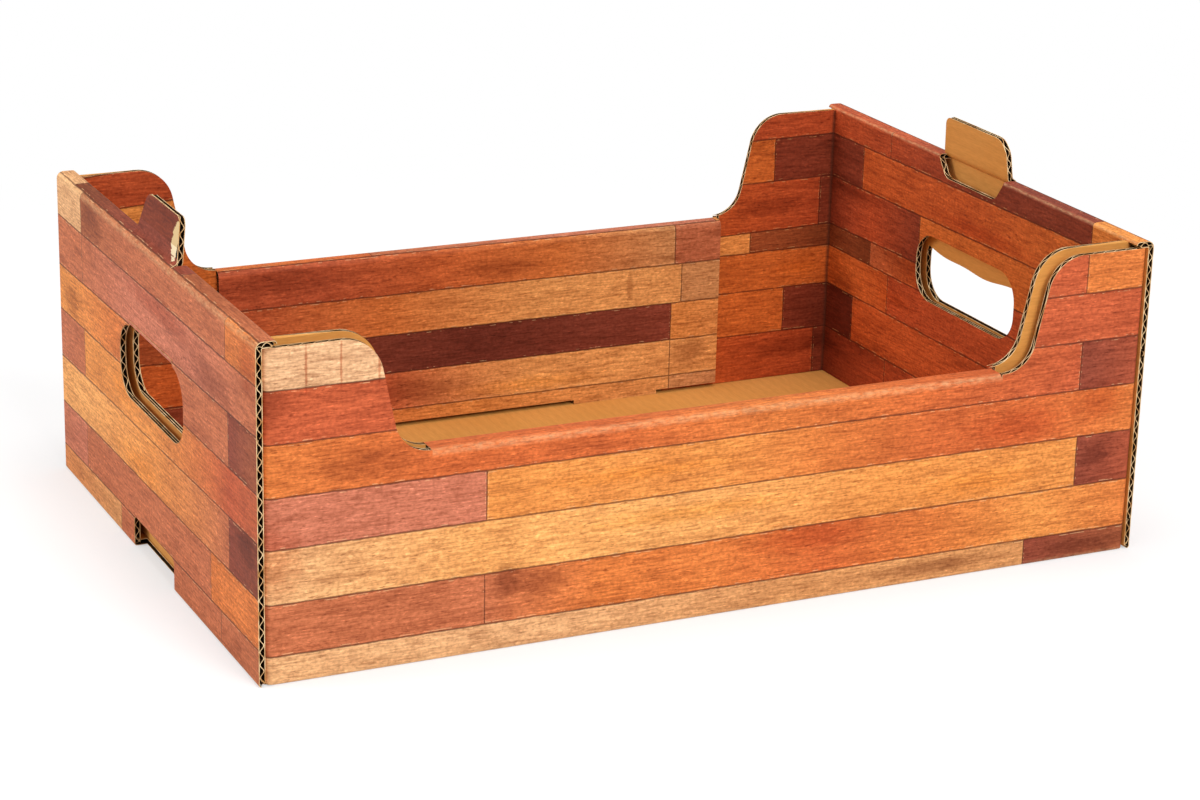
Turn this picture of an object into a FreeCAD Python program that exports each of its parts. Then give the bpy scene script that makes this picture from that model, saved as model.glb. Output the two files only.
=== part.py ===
import FreeCAD, Part
import math
import os

# Folded tray of printed single-wall corrugated board, cut and folded from one blank.
# X runs along the long walls, Y along the end walls, Z up. The origin is the centre of the
# footprint, on the surface that the floor rests on. Lengths are in millimetres.

# Overall sizes
length = 600.0
width = 400.0
end_height = 209.0
rail_height = 132.0

# Board and folds
board = 4.0
liner = 0.5
medium = 0.45
flute_pitch = 8.0
flute_depth = 12.0
seam = 0.4
fold_slack = 0.4
foot_gap = 3.0

# Free space inside the hollow walls
end_play = 0.6
front_gap = 5.6
back_gap = 1.6

# Corner posts and the low dip between them
post_top_width = 72.0
post_foot_width = 88.0
inner_post_rise = 2.4
shoulder_radius = 25.0
dip_radius = 22.0
rail_inset = 19.0
flap_reach = 43.0
flap_drop = 6.0

# Side flaps of the long walls, inside the hollow end walls
side_flap_length = 110.0
side_flap_drop = 4.6

# Hand holes
hole_width = 129.0
hole_height = 48.0
hole_radius = 20.0
hole_sill = 99.0
inner_hole_rise = 1.0
tongue_length = 15.0
tongue_bow = 4.5

# Stacking tabs and slots
tab_base = 82.0
tab_top = 64.0
tab_height = 28.0
tab_radius = 9.0
left_tab_lean = 14.0
right_tab_lean = 6.0
slot_clearance = 0.5
slot_height = 21.0
slot_depth = 8.4
slot_radius = 4.0

# Locking tabs of the rails' inner panels
lock_width = 67.0
lock_centre = 110.5
lock_recess = 0.5

# Sizes that follow from those above
fold_out = board + fold_slack
half_length = length / 2
half_width = width / 2
end_depth = 3 * board + seam + end_play
post_height = end_height - board - seam
inner_post_height = post_height + inner_post_rise
foot = board + seam
rail_foot = board + foot_gap
rail_half = half_length - post_foot_width - rail_inset
hole_top = hole_sill + hole_height
tongue_half = hole_width / 2 - hole_radius
hanging_side = 1
gaps = {-1: front_gap, 1: back_gap}
leans = {-1: left_tab_lean, 1: right_tab_lean}
cutter = 50.0


def flap_depth(sy):
    # Distance from the wall's outer face to the kraft face of the inner post layer
    return board + gaps[sy]


def rail_depth(sy):
    # Full thickness of a long wall at its rail
    return flap_depth(sy) + 2 * board + seam


def on_xz(y):
    return lambda a, b: FreeCAD.Vector(a, y, b)


def on_yz(x):
    return lambda a, b: FreeCAD.Vector(x, a, b)


def on_xy(z):
    return lambda a, b: FreeCAD.Vector(a, b, z)


def corner(before, here, after, radius):
    # Start, middle and end of the arc that rounds one corner
    into = (here[0] - before[0], here[1] - before[1])
    away = (after[0] - here[0], after[1] - here[1])
    into_length = math.hypot(*into)
    away_length = math.hypot(*away)
    into = (into[0] / into_length, into[1] / into_length)
    away = (away[0] / away_length, away[1] / away_length)
    turn = math.acos(max(-1.0, min(1.0, into[0] * away[0] + into[1] * away[1])))
    if radius <= 0 or turn < 0.001:
        return [here]
    reach = radius * math.tan(turn / 2)
    start = (here[0] - into[0] * reach, here[1] - into[1] * reach)
    end = (here[0] + away[0] * reach, here[1] + away[1] * reach)
    inward = (away[0] - into[0], away[1] - into[1])
    inward_length = math.hypot(*inward)
    sagitta = radius / math.cos(turn / 2) - radius
    middle = tuple(here[i] + inward[i] / inward_length * sagitta for i in (0, 1))
    return [start, middle, end]


def rounded_wire(corners, place):
    # Closed wire through (a, b, radius) corners
    count = len(corners)
    stops = []
    for i, (a, b, radius) in enumerate(corners):
        before = corners[i - 1][:2]
        after = corners[(i + 1) % count][:2]
        stops.append(corner(before, (a, b), after, radius))
    edges = []
    for i, stop in enumerate(stops):
        if len(stop) == 3:
            edges.append(Part.Arc(*[place(*p) for p in stop]).toShape())
        start = place(*stop[-1])
        end = place(*stops[(i + 1) % count][0])
        if start.distanceToPoint(end) > 0.001:
            edges.append(Part.LineSegment(start, end).toShape())
    return Part.Wire(edges)


def prism(corners, place, vector):
    # Solid of a rounded outline carried along a vector
    return Part.Face(rounded_wire(corners, place)).extrude(vector)


def box(x0, x1, y0, y1, z0, z1):
    low = FreeCAD.Vector(min(x0, x1), min(y0, y1), min(z0, z1))
    return Part.makeBox(abs(x1 - x0), abs(y1 - y0), abs(z1 - z0), low)


def offset_path(path, distance):
    # Path moved sideways by a distance, with mitred corners
    normals = []
    for start, end in zip(path, path[1:]):
        run = math.hypot(end[0] - start[0], end[1] - start[1])
        normals.append((-(end[1] - start[1]) / run, (end[0] - start[0]) / run))
    moved = [tuple(path[0][i] + distance * normals[0][i] for i in (0, 1))]
    for joint, n0, n1 in zip(path[1:], normals, normals[1:]):
        mitre = distance / (1 + n0[0] * n1[0] + n0[1] * n1[1])
        moved.append(tuple(joint[i] + mitre * (n0[i] + n1[i]) for i in (0, 1)))
    moved.append(tuple(path[-1][i] + distance * normals[-1][i] for i in (0, 1)))
    return moved


def board_section(path, side, outer_radius):
    # Outline of a folded strip of board: path follows its convex face, side says where the board lies
    inner = offset_path(path, side * board)
    inner_radius = max(outer_radius - board, seam / 4)
    corners = [(a, b, outer_radius if 0 < i < len(path) - 1 else 0.0) for i, (a, b) in enumerate(path)]
    back = [(a, b, inner_radius if 0 < i < len(path) - 1 else 0.0) for i, (a, b) in enumerate(inner)]
    return corners + back[::-1]


def flutes(face_at, inward, low, high):
    # Triangular channels between the liners and the zigzag medium of a straight run of board
    count = int((high - low) // flute_pitch)
    start = (low + high - count * flute_pitch) / 2
    near = face_at + inward * liner
    far = face_at + inward * (board - liner)
    web = medium / 2
    channels = []
    for i in range(count):
        foot_at = start + i * flute_pitch
        peak = foot_at + flute_pitch / 2
        top = foot_at + flute_pitch
        channels.append([(near, foot_at + web, 0), (near, top - web, 0), (far - inward * medium, peak, 0)])
        if i < count - 1:
            channels.append([(far, peak + web, 0), (far, peak + flute_pitch - web, 0),
                             (near + inward * medium, top, 0)])
    return channels


def hole_outline(sill, height):
    half = hole_width / 2
    return [(-half, sill, hole_radius), (half, sill, hole_radius),
            (half, sill + height, hole_radius), (-half, sill + height, hole_radius)]


def make_floor():
    slab = box(-half_length + fold_out, half_length - fold_out, -half_width + fold_out, half_width - fold_out,
               0, board)
    for sy in (-1, 1):
        for centre in (-lock_centre, lock_centre):
            reach = lock_width / 2 + seam
            inner = half_width - rail_depth(sy) - seam
            slab = slab.cut(box(centre - reach, centre + reach, sy * inner,
                                sy * (inner + board + 2 * seam), -1, board + 1))
    return slab


def end_wall(sx):
    # Bottom fold, outer panel, rolled top strip and inner panel, as one strip of board
    face = sx * half_length
    inner_face = sx * (half_length - end_depth)
    path = [(face - sx * fold_out, 0), (face, 0), (face, end_height), (inner_face, end_height), (inner_face, foot)]
    wall = prism(board_section(path, sx, fold_out), on_xz(-half_width), FreeCAD.Vector(0, width, 0))

    # The flutes run along Y and show at the upright cut edges of the outer panel
    channels = flutes(face, -sx, foot + board, end_height - fold_out)
    for sy in (-1, 1):
        depth = FreeCAD.Vector(0, -sy * flute_depth, 0)
        wall = wall.cut(Part.makeCompound([prism(c, on_xz(sy * half_width), depth) for c in channels]))

    # The inner panel stops where its side flaps fold in
    for sy in (-1, 1):
        stop = half_width - flap_depth(sy) - fold_out
        wall = wall.cut(box(inner_face - sx, inner_face + sx * (board + seam / 2), sy * stop, sy * (half_width + 1),
                            -1, end_height - fold_out))
    return wall


def folded_tongue(sx):
    # Grip tongue that was pushed in and folded flat up behind the outer panel
    face = sx * half_length
    bend = board + seam / 2
    back = face - sx * 2 * bend
    path = [(face, hole_top + fold_out), (face, hole_top), (back, hole_top), (back, hole_top + tongue_length)]
    section = board_section(path, -sx, bend)
    half = tongue_half - seam
    return prism(section, on_xz(-half), FreeCAD.Vector(0, 2 * half, 0))


def folded_tongue_relief(sx):
    # The outer panel ends at the tongue's fold
    face = sx * half_length
    return box(face + sx, face - sx * (board + seam / 2), -tongue_half, tongue_half,
               hole_top - hole_radius, hole_top + fold_out)


def hanging_tongue(sx):
    # Grip tongue that still hangs in the outer panel's plane, with its bowed lower edge
    face = sx * half_length + sx
    edge = hole_top - tongue_length + tongue_bow
    ends = [FreeCAD.Vector(face, y, edge) for y in (-hole_width / 2, hole_width / 2)]
    arc = Part.Arc(ends[0], FreeCAD.Vector(face, 0, hole_top - tongue_length), ends[1]).toShape()
    upper = [FreeCAD.Vector(face, y, hole_top + 1) for y in (hole_width / 2, -hole_width / 2)]
    rest = Part.makePolygon([ends[1]] + upper + [ends[0]])
    return Part.Face(Part.Wire([arc] + rest.Edges)).extrude(FreeCAD.Vector(-sx * cutter, 0, 0))


def hand_hole_cutters(sx):
    face = sx * half_length
    inner_face = sx * (half_length - end_depth)
    through = board + 1 + seam / 2
    outer = prism(hole_outline(hole_sill, hole_height), on_yz(face + sx), FreeCAD.Vector(-sx * through, 0, 0))
    inner = prism(hole_outline(hole_sill + inner_hole_rise, hole_height), on_yz(inner_face - sx),
                  FreeCAD.Vector(sx * through, 0, 0))
    if sx == hanging_side:
        return [outer.cut(hanging_tongue(sx)), inner]
    return [outer, inner, folded_tongue_relief(sx)]


def slot_cutter(sx):
    # Stacking slot at the foot of an end wall, through the outer panel and the edge of the floor
    half = tab_base / 2 + slot_clearance
    outline = [(-half, -1, 0), (half, -1, 0), (half, slot_height, slot_radius), (-half, slot_height, slot_radius)]
    return prism(outline, on_yz(sx * (half_length + 1)), FreeCAD.Vector(-sx * (slot_depth + 1), 0, 0))


def notch_cutter(sx):
    # Notch that the stacking tab leaves in the top strip and the inner panel
    inner_drop = tab_height - end_depth
    half = tab_base / 2 + seam
    crease = end_height - fold_out
    outline = [(-half, end_height + 1, 0), (-half, crease, 0),
               (-tab_top / 2, end_height - inner_drop, tab_radius),
               (tab_top / 2, end_height - inner_drop, tab_radius),
               (half, crease, 0), (half, end_height + 1, 0)]
    inner = prism(outline, on_yz(sx * (half_length - board)), FreeCAD.Vector(-sx * end_depth, 0, 0))
    fold = box(sx * (half_length + 1), sx * (half_length - board), -half, half, crease, end_height + 1)
    return [inner, fold]


def stacking_tab(sx):
    # Tab in the outer panel, creased at its foot so that it leans inwards
    half = tab_base / 2
    base = end_height - fold_out
    crease = base + board
    lean = math.radians(leans[sx])
    run = tab_height + end_height - crease
    top = (sx * (half_length - run * math.sin(lean)), crease + run * math.cos(lean))
    path = [(sx * half_length, base), (sx * half_length, crease), top]
    strip = prism(board_section(path, sx, 2 * board), on_xz(-half), FreeCAD.Vector(0, 2 * half, 0))
    outline = [(-half, base - 1, 0), (half, base - 1, 0), (half, end_height, 0),
               (tab_top / 2, top[1], tab_radius), (-tab_top / 2, top[1], tab_radius), (-half, end_height, 0)]
    return strip.common(prism(outline, on_yz(sx * (half_length + 1)), FreeCAD.Vector(-sx * cutter, 0, 0)))


def shoulder(height, foot_height):
    # Corners of a post's shoulder and dip, as distances from the middle of the tray
    return [(half_length - post_top_width, height, shoulder_radius),
            (half_length - post_foot_width, foot_height, dip_radius)]


def rail(sy):
    # Bottom fold, low outer panel, rolled top strip and inner panel between the posts
    face = sy * half_width
    inner_face = sy * (half_width - rail_depth(sy))
    path = [(face - sy * fold_out, 0), (face, 0), (face, rail_height), (inner_face, rail_height),
            (inner_face, rail_foot)]
    section = board_section(path, sy, fold_out)
    return prism(section, on_yz(-rail_half), FreeCAD.Vector(2 * rail_half, 0, 0))


def locking_tab(sy, centre):
    inner_face = half_width - rail_depth(sy)
    return box(centre - lock_width / 2, centre + lock_width / 2, sy * inner_face, sy * (inner_face + board),
               lock_recess, rail_foot + 1)


def post(sx, sy):
    # Outer layer of a corner post, its bottom fold and its side flap inside the end wall
    face = sy * half_width
    edge = half_length - board - seam - fold_out
    outline = [(sx * a, b, r) for a, b, r in
               [(rail_half, fold_out, 0), (edge, fold_out, 0), (edge, post_height, 0)]
               + shoulder(post_height, rail_height) + [(rail_half, rail_height, 0)]]
    flat = prism(outline, on_xz(face), FreeCAD.Vector(0, -sy * board, 0))

    # The flutes run upwards and show along the shoulder and the dip
    lowest = fold_out + board
    rise = FreeCAD.Vector(0, 0, end_height - lowest)
    channels = [[(sx * a, b, r) for b, a, r in channel]
                for channel in flutes(face, -sy, rail_half + board, edge)]
    flat = flat.cut(Part.makeCompound([prism(c, on_xy(lowest), rise) for c in channels]))

    bottom_path = [(face - sy * fold_out, 0), (face, 0), (face, fold_out)]
    bottom = prism(board_section(bottom_path, sy, fold_out), on_yz(sx * rail_half),
                   FreeCAD.Vector(sx * (edge - rail_half), 0, 0))

    side = sx * (edge + fold_out)
    turn_path = [(sx * edge, face), (side, face), (side, face - sy * fold_out)]
    turn = prism(board_section(turn_path, -sx * sy, fold_out), on_xy(foot),
                 FreeCAD.Vector(0, 0, post_height - foot))
    flap = box(side, side - sx * board, face - sy * fold_out, face - sy * side_flap_length, foot,
               post_height - side_flap_drop)
    return [flat, bottom, turn, flap]


def inner_post(sx, sy):
    # Inner layer of a corner post: side flap of the end wall's inner panel
    kraft = sy * (half_width - flap_depth(sy))
    edge = half_length - end_depth + board
    turn_path = [(sx * edge, kraft - sy * fold_out), (sx * edge, kraft), (sx * (edge - fold_out), kraft)]
    turn = prism(board_section(turn_path, sx * sy, fold_out), on_xy(foot), FreeCAD.Vector(0, 0, post_height - foot))
    low_top = rail_height - flap_drop
    step = rail_half + seam
    outline = [(edge - fold_out, foot, 0), (edge - fold_out, inner_post_height, 0)]
    outline += shoulder(inner_post_height, rail_height)
    outline += [(step, rail_height, 0), (step, low_top, 0), (rail_half - flap_reach, low_top, 0),
                (rail_half - flap_reach, foot, 0)]
    flap = prism([(sx * a, b, r) for a, b, r in outline], on_xz(kraft), FreeCAD.Vector(0, -sy * board, 0))
    return [turn, flap]


def make_tray():
    pieces = [make_floor()]
    for sx in (-1, 1):
        wall = end_wall(sx)
        for cut in hand_hole_cutters(sx) + notch_cutter(sx):
            wall = wall.cut(cut)
        pieces += [wall, stacking_tab(sx)]
        for sy in (-1, 1):
            pieces += post(sx, sy) + inner_post(sx, sy)
    pieces.append(folded_tongue(-hanging_side))
    for sy in (-1, 1):
        pieces.append(rail(sy))
        pieces += [locking_tab(sy, centre) for centre in (-lock_centre, lock_centre)]
    tray = pieces[0].fuse(pieces[1:])
    for sx in (-1, 1):
        tray = tray.cut(slot_cutter(sx))
    return tray.removeSplitter()


tray = make_tray()
print("solids", len(tray.Solids), "valid", tray.isValid(), "faces", len(tray.Faces))
print("volume", tray.Volume, "box", tray.BoundBox)
os.makedirs("parts", exist_ok=True)
tray.exportStep("parts/tray.step")
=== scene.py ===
import math

import bpy
import numpy as np
from mathutils import Matrix, Vector
from mathutils.geometry import delaunay_2d_cdt


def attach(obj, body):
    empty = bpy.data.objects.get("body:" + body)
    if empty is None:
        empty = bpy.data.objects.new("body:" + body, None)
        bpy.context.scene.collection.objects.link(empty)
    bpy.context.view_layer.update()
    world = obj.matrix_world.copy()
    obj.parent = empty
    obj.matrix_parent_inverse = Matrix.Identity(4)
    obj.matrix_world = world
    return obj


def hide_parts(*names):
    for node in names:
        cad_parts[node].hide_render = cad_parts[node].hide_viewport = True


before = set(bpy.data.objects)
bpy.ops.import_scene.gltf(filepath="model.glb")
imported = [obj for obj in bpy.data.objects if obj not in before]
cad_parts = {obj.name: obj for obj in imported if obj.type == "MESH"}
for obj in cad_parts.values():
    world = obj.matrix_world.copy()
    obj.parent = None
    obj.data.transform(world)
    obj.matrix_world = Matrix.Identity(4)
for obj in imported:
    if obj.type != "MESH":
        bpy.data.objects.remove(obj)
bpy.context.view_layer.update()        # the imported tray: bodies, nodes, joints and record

mm = 0.001

# Sizes in millimetres, all read as on the folded tray; depth in the board counts from its printed face
board = {
    "thick": 4.0, "liner": 0.5, "medium": 0.55, "pitch": 8.0, "seam": 0.4, "fluteSteps": 8,
    "mediumGap": 0.05, "mediumInset": 0.15, "mediumShortest": 0.5, "fluteClear": 1.0,
}
tray = {
    "halfLength": 300.0, "halfWidth": 200.0, "endHeight": 209.0, "railHeight": 132.0,
    "footRadius": 1.6, "foldRadius": 4.6, "innerFoldRadius": 2.2,
    "endDepth": 13.0, "frontDepth": 18.0, "backDepth": 14.0, "frontGap": 5.6, "backGap": 1.6,
    "floorX": 286.0, "floorY": 192.0,
}
# spacing of the mesh: on panels, along rails and the floor, round folds and die lines
spacing = {
    "endPanel": 10.0, "wallAlong": 11.0, "wallUp": 10.0, "railDown": 12.0, "floor": 22.0, "fold": 4.0,
    "tab": 5.0, "tongue": 8.0, "arc": 1.6, "holeRim": 2.5,
}
sharpFrom = math.radians(35)     # folds stay smooth and cut edges crisp


def alongArc(start, heading, turn, radius, steps):
    # points and headings of a circular bend: the start turned about its centre in equal steps
    sign = math.copysign(1.0, turn)
    centre = start + radius * sign * np.array([-heading[1], heading[0]])
    angle = np.linspace(0.0, turn, steps + 1)
    cos, sin = np.cos(angle), np.sin(angle)
    arm = start - centre
    at = centre + np.stack([cos * arm[0] - sin * arm[1], sin * arm[0] + cos * arm[1]], 1)
    head = np.stack([cos * heading[0] - sin * heading[1], sin * heading[0] + cos * heading[1]], 1)
    return at, head


def turnBetween(before, after):
    # signed angle from one heading to the next
    return math.atan2(before[0] * after[1] - before[1] * after[0], before @ after)


def foldLine(points, radii, zeroAt, side, steps=8):
    # a board's printed face seen edge on: straight runs joined by arcs, with running length, place and
    # the normal that points into the board; zeroAt gives the running length at the end of one bend
    points = np.array(points, float)
    heading = np.diff(points, axis=0)
    heading /= np.linalg.norm(heading, axis=1)[:, None]
    at, head, marks = [points[:1]], [heading[:1]], []
    for i, radius in enumerate(radii):
        before, after = heading[i], heading[i + 1]
        turn = turnBetween(before, after)
        start = points[i + 1] - before * radius * math.tan(abs(turn) / 2)
        bend, bendHead = alongArc(start, before, turn, radius, steps)
        at.append(bend)
        head.append(bendHead)
        marks.append(sum(len(a) for a in at) - 1)
    at.append(points[-1:])
    head.append(heading[-1:])
    at, head = np.concatenate(at), np.concatenate(head)
    run = np.concatenate([[0.0], np.cumsum(np.linalg.norm(np.diff(at, axis=0), axis=1))])
    if zeroAt:
        run += zeroAt[1] - run[marks[zeroAt[0]]]
    normal = side * np.stack([-head[:, 1], head[:, 0]], 1)
    return {"run": run, "at": at, "normal": normal, "marks": run[marks]}


def onFold(line, run, depth):
    # place on the fold line at a running length, moved into the board by a depth
    spot = [np.interp(run, line["run"], line["at"][:, i]) for i in (0, 1)]
    lean = [np.interp(run, line["run"], line["normal"][:, i]) for i in (0, 1)]
    return spot[0] + depth * lean[0], spot[1] + depth * lean[1]


def cutLoop(corners):
    # closed die line through (a, b, radius) corners, each corner an arc
    corners = np.array(corners, float)
    out = []
    for i in range(len(corners)):
        here, radius = corners[i, :2], corners[i, 2]
        before = here - corners[i - 1, :2]
        after = corners[(i + 1) % len(corners), :2] - here
        before, after = before / np.linalg.norm(before), after / np.linalg.norm(after)
        turn = turnBetween(before, after)
        if radius <= 0 or abs(turn) < 0.01:
            out.append(here[None])
            continue
        steps = max(4, int(radius * abs(turn) / spacing["arc"]))
        start = here - before * radius * math.tan(abs(turn) / 2)
        out.append(alongArc(start, before, turn, radius, steps)[0])
    return np.concatenate(out)


def boxLoop(low, high, bottom, top, radius=0):
    # a rectangle as a die line, its two upper corners rounded
    return cutLoop([(low, bottom, 0), (high, bottom, 0), (high, top, radius), (low, top, radius)])


def densify(loop, step):
    # the same die line with its long runs divided, so that it can be waved
    out = []
    for a, b in zip(loop, np.roll(loop, -1, axis=0)):
        parts = max(1, int(np.linalg.norm(b - a) / step))
        out.append(a + (b - a) * np.linspace(0, 1, parts, endpoint=False)[:, None])
    return np.concatenate(out)


def insideLoops(points, loops):
    # even-odd rule: how many die lines a ray along the first axis crosses
    odd = np.zeros(len(points), bool)
    for loop in loops:
        a, b = loop, np.roll(loop, -1, axis=0)
        crosses = (a[None, :, 1] > points[:, None, 1]) != (b[None, :, 1] > points[:, None, 1])
        rise = np.where(b[:, 1] == a[:, 1], 1.0, b[:, 1] - a[:, 1])
        at = a[None, :, 0] + (points[:, None, 1] - a[None, :, 1]) / rise * (b - a)[None, :, 0]
        odd ^= (crosses & (points[:, None, 0] < at)).sum(1) % 2 == 1
    return odd


def triangulate(loops, columns, rows, weld=0.004):
    # a grid of columns and rows trimmed by the die lines, as points and triangles
    grid = np.stack(np.meshgrid(columns, rows, indexing="ij"), -1).reshape(-1, 2)
    index = np.arange(len(grid)).reshape(len(columns), len(rows))
    points, edges, count = [grid], [], len(grid)
    edges.append(np.stack([index[:-1].ravel(), index[1:].ravel()], 1))
    edges.append(np.stack([index[:, :-1].ravel(), index[:, 1:].ravel()], 1))
    for loop in loops:
        k = np.arange(len(loop))
        edges.append(np.stack([k, np.roll(k, -1)], 1) + count)
        points.append(loop)
        count += len(loop)
    made = delaunay_2d_cdt([Vector(p) for p in np.concatenate(points).tolist()],
                           np.concatenate(edges).tolist(), [], 0, weld)
    flat = np.array([tuple(v) for v in made[0]])
    tris = np.array(made[2])
    tris = tris[insideLoops(flat[tris].mean(1), loops)]
    used, tris = np.unique(tris, return_inverse=True)
    return flat[used], tris.reshape(-1, 3)


def slab(flat, tris, place, near, far):
    # the flat cut shape at two depths in the board, closed by rims: points, triangles and face kinds
    front = place(flat[:, 0], flat[:, 1], near)
    back = place(flat[:, 0], flat[:, 1], far)
    corner = front[tris]
    facing = np.cross(corner[:, 1] - corner[:, 0], corner[:, 2] - corner[:, 0])
    if (facing * (back - front)[tris[:, 0]]).sum() > 0:
        tris = tris[:, ::-1]
    count = len(flat)
    half = np.concatenate([tris[:, [0, 1]], tris[:, [1, 2]], tris[:, [2, 0]]])
    key = half[:, 0] * count + half[:, 1]
    rim = half[~np.isin(key, half[:, 1] * count + half[:, 0])]
    i, j = rim[:, 0], rim[:, 1]
    faces = [tris, tris[:, ::-1] + count, np.stack([j, i, i + count], 1),
             np.stack([j, i + count, j + count], 1)]
    kinds = np.repeat([0, 1, 2, 2], [len(f) for f in faces])
    return np.concatenate([front, back]), np.concatenate(faces), kinds, np.concatenate([flat, flat])


def crossings(loops, value, axis):
    # where a line at one value of an axis meets the die lines, in order along the other axis
    found = []
    for loop in loops:
        a, b = loop, np.roll(loop, -1, axis=0)
        hit = (a[:, axis] > value) != (b[:, axis] > value)
        a, b = a[hit], b[hit]
        part = (value - a[:, axis]) / (b[:, axis] - a[:, axis])
        found.append(a[:, 1 - axis] + part * (b[:, 1 - axis] - a[:, 1 - axis]))
    return np.sort(np.concatenate(found))


def medium(loops, place, axis, low, high, window):
    # the wavy sheet between the liners: a sine across the flutes, straight along them, as long as the
    # die lines leave it; axis is the one that the wave runs along
    inset, half = board["mediumInset"], board["medium"] / 2
    middle = board["thick"] / 2
    swing = middle - board["liner"] - half - board["mediumGap"]
    rows = []
    for value in np.arange(low, high, board["pitch"] / board["fluteSteps"]):
        ends = crossings(loops, value, axis).reshape(-1, 2)
        ends = np.clip(ends + [inset, -inset], *window)
        ends = ends[ends[:, 1] - ends[:, 0] > board["mediumShortest"]]
        depth = middle + swing * math.sin(2 * math.pi * value / board["pitch"])
        rows.append((value, ends, depth))
    blocks = []
    for (v0, e0, d0), (v1, e1, d1) in zip(rows, rows[1:]):
        if len(e0) != len(e1):
            continue
        for (a0, b0), (a1, b1) in zip(e0, e1):
            for value, end, depth in ((v0, a0, d0), (v0, b0, d0), (v1, b1, d1), (v1, a1, d1)):
                spot = (value, end) if axis == 0 else (end, value)
                blocks += [(*spot, depth - half), (*spot, depth + half)]
    # each step is a block of eight corners; neighbours share theirs, and the face between two goes
    spots, corner = np.unique(np.round(blocks, 5), axis=0, return_inverse=True)
    corner = corner.reshape(-1, 8)
    points = place(spots[:, 0], spots[:, 1], spots[:, 2])
    sides = corner[:, [(0, 2, 4, 6), (7, 5, 3, 1), (2, 3, 5, 4), (6, 7, 1, 0)]].reshape(-1, 4)
    caps = corner[:, [(0, 1, 3, 2), (4, 5, 7, 6)]].reshape(-1, 4)
    same, seen = np.unique(np.sort(caps, axis=1), axis=0, return_inverse=True, return_counts=True)[1:]
    caps = caps[seen[same.ravel()] == 1]
    quads = np.concatenate([sides, caps])
    # the wave's faces take kind 3, painted shade, and its cut ends kind 2, the pale cut edge
    kinds = np.concatenate([np.tile([3, 3, 2, 2], len(corner)), np.full(len(caps), 2)])
    first = points[sides[0::4]]
    facing = np.cross(first[:, 1] - first[:, 0], first[:, 2] - first[:, 0])
    inward = points[corner[:, 1]] - points[corner[:, 0]]
    if (facing * inward).sum() > 0:
        quads = quads[:, ::-1]
    tris = np.concatenate([quads[:, [0, 1, 2]], quads[:, [0, 2, 3]]])
    return points, tris, np.tile(kinds, 2), spots[:, :2]


def boardSheet(loops, columns, rows, place, toPrint, flutes=()):
    # printed liner, kraft liner and the medium between them; kinds: 0 print, 1 kraft, 2 cut edge,
    # 3 the paper between the liners and the liners' faces towards it, painted near black as shade
    flat, tris = triangulate(loops, columns, rows)
    thick, liner = board["thick"], board["liner"]
    out = []
    # each liner's face towards the medium takes kind 3, the painted shade
    for near, far, kindMap in ((0.0, liner, (0, 3, 2)), (thick - liner, thick, (3, 1, 2))):
        points, faces, kinds, spots = slab(flat, tris, place, near, far)
        out.append((points, faces, np.array(kindMap)[kinds], toPrint(spots)))
    for axis, low, high, window in flutes:
        points, faces, kinds, spots = medium(loops, place, axis, low, high, window)
        out.append((points, faces, kinds, toPrint(spots)))
    return out


def gridLines(low, high, step, extra=()):
    # evenly spaced lines with the given ones added, and none left close beside an added one
    lines = np.linspace(low, high, max(2, int(round((high - low) / step)) + 1))
    extra = np.array([e for e in extra if low - 0.01 <= e <= high + 0.01])
    if len(extra):
        lines = lines[abs(lines[:, None] - extra[None]).min(1) > 0.3 * min(step, 4)]
        lines = np.concatenate([lines, extra])
    return np.unique(np.round(lines, 4))


def unmoved(spots):
    # cut and print share their coordinates
    return spots


def makePiece(name, sheets, materials):
    # all sheets of one wall as one mesh, with the print's place on the blank kept as a UV map in metres
    points, faces, kinds, spots = zip(*sheets)
    offset = np.cumsum([0] + [len(p) for p in points[:-1]])
    faces = np.concatenate([f + o for f, o in zip(faces, offset)])
    points = np.concatenate(points) * mm
    spots = np.concatenate(spots) * mm
    kinds = np.concatenate(kinds)
    mesh = bpy.data.meshes.new(name)
    mesh.from_pydata(points.tolist(), [], faces.tolist())
    uv = mesh.uv_layers.new(name="blank")
    corner = np.zeros(len(mesh.loops), np.int32)
    mesh.loops.foreach_get("vertex_index", corner)
    uv.data.foreach_set("uv", spots[corner].astype(np.float32).ravel())
    mesh.polygons.foreach_set("material_index", kinds.astype(np.int32))
    for material in materials:
        mesh.materials.append(material)
    mesh.shade_smooth()
    mesh.set_sharp_from_angle(angle=sharpFrom)
    piece = bpy.data.objects.new(name, mesh)
    bpy.context.collection.objects.link(piece)
    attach(piece, "root")
    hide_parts("tray")
    print(name, len(mesh.polygons), "triangles")
    return piece


# End walls: one board goes up outside, over the top and down inside, with side flaps behind the rails.
# tongueWave is how high and how long the torn edge of the tongue waves; layerStart and meshStart are
# where the fold line and the mesh of the inner layer begin in X
endWall = {
    "slotHalf": 41.5, "slotTop": 21.0, "slotDepth": 8.4, "slotRadius": 4.0,
    "holeHalf": 64.5, "holeSill": 99.0, "holeHeight": 48.0, "holeRadius": 20.0, "innerHoleRise": 1.0,
    "tongue": 15.0, "tongueBow": 4.5, "tongueWave": (0.7, 9.0), "tongueRadius": 8.0,
    "tabBase": 41.0, "tabTop": 32.0, "tabHeight": 28.0, "notchRadius": 9.0,
    "flapReach": 150.0, "flapTop": 126.0, "cornerRadius": 0.6, "cornerClear": 4.0,
    "layerStart": 100.0, "meshStart": 140.0, "fluteStart": 0.5,
    "bow": 0.9, "bowHalf": 190.0, "bowTop": 204.0, "bowPhase": 1.3,
}
# lean, how far the worn crease lets the foot in, and the outline as (across foot, across top, radius)
tabs = {
    -1: {"lean": 12.0, "sink": 6.0, "near": (-41.0, -31.0, 8.0), "far": (41.0, 32.0, 9.0)},
    1: {"lean": 5.0, "sink": 4.0, "near": (-39.0, -37.0, 14.0), "far": (43.0, 40.0, 6.0)},
}
tabCrease = {"low": 3.0, "high": 6.0, "foot": 8.0, "radii": [4.2, 2.5], "short": 0.8}
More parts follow.
